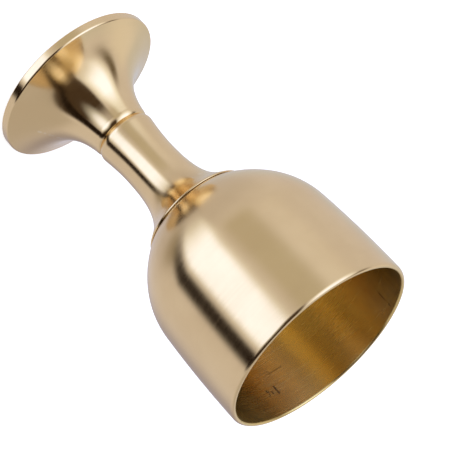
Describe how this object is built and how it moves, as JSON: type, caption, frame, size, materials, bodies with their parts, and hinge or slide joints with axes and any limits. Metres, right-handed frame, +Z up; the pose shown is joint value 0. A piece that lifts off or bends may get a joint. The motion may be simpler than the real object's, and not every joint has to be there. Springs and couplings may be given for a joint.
{
  "type": "bar jigger",
  "caption": "Double-ended bar jigger: a bell-shaped large measuring cup on a waisted stem, with a flared trumpet-shaped small cup as its foot.",
  "frame": {"origin": "centre of the small cup's rim, on the surface the jigger stands on", "axes": "+Z up along the common axis towards the large cup's mouth; the measuring line lies on the +Y side of the large cup's inside, right of centre as seen from -Y"},
  "size_m": [0.0484, 0.0484, 0.0869],
  "materials": {
    "large_cup_gold": "satin champagne gold, fine round-the-axis polish",
    "stem_gold": "satin champagne gold",
    "small_cup_gold": "satin champagne gold, polished trumpet",
    "plug_gold": "satin champagne gold",
    "plain_steel": "bare turned steel"
  },
  "bodies": {
    "root": {"large_cup": "large_cup_gold", "cup_boss": "plain_steel", "tie_stud": "plain_steel", "stem": "stem_gold", "small_cup": "small_cup_gold", "neck_plug": "plug_gold"}
  },
  "joints": []
}
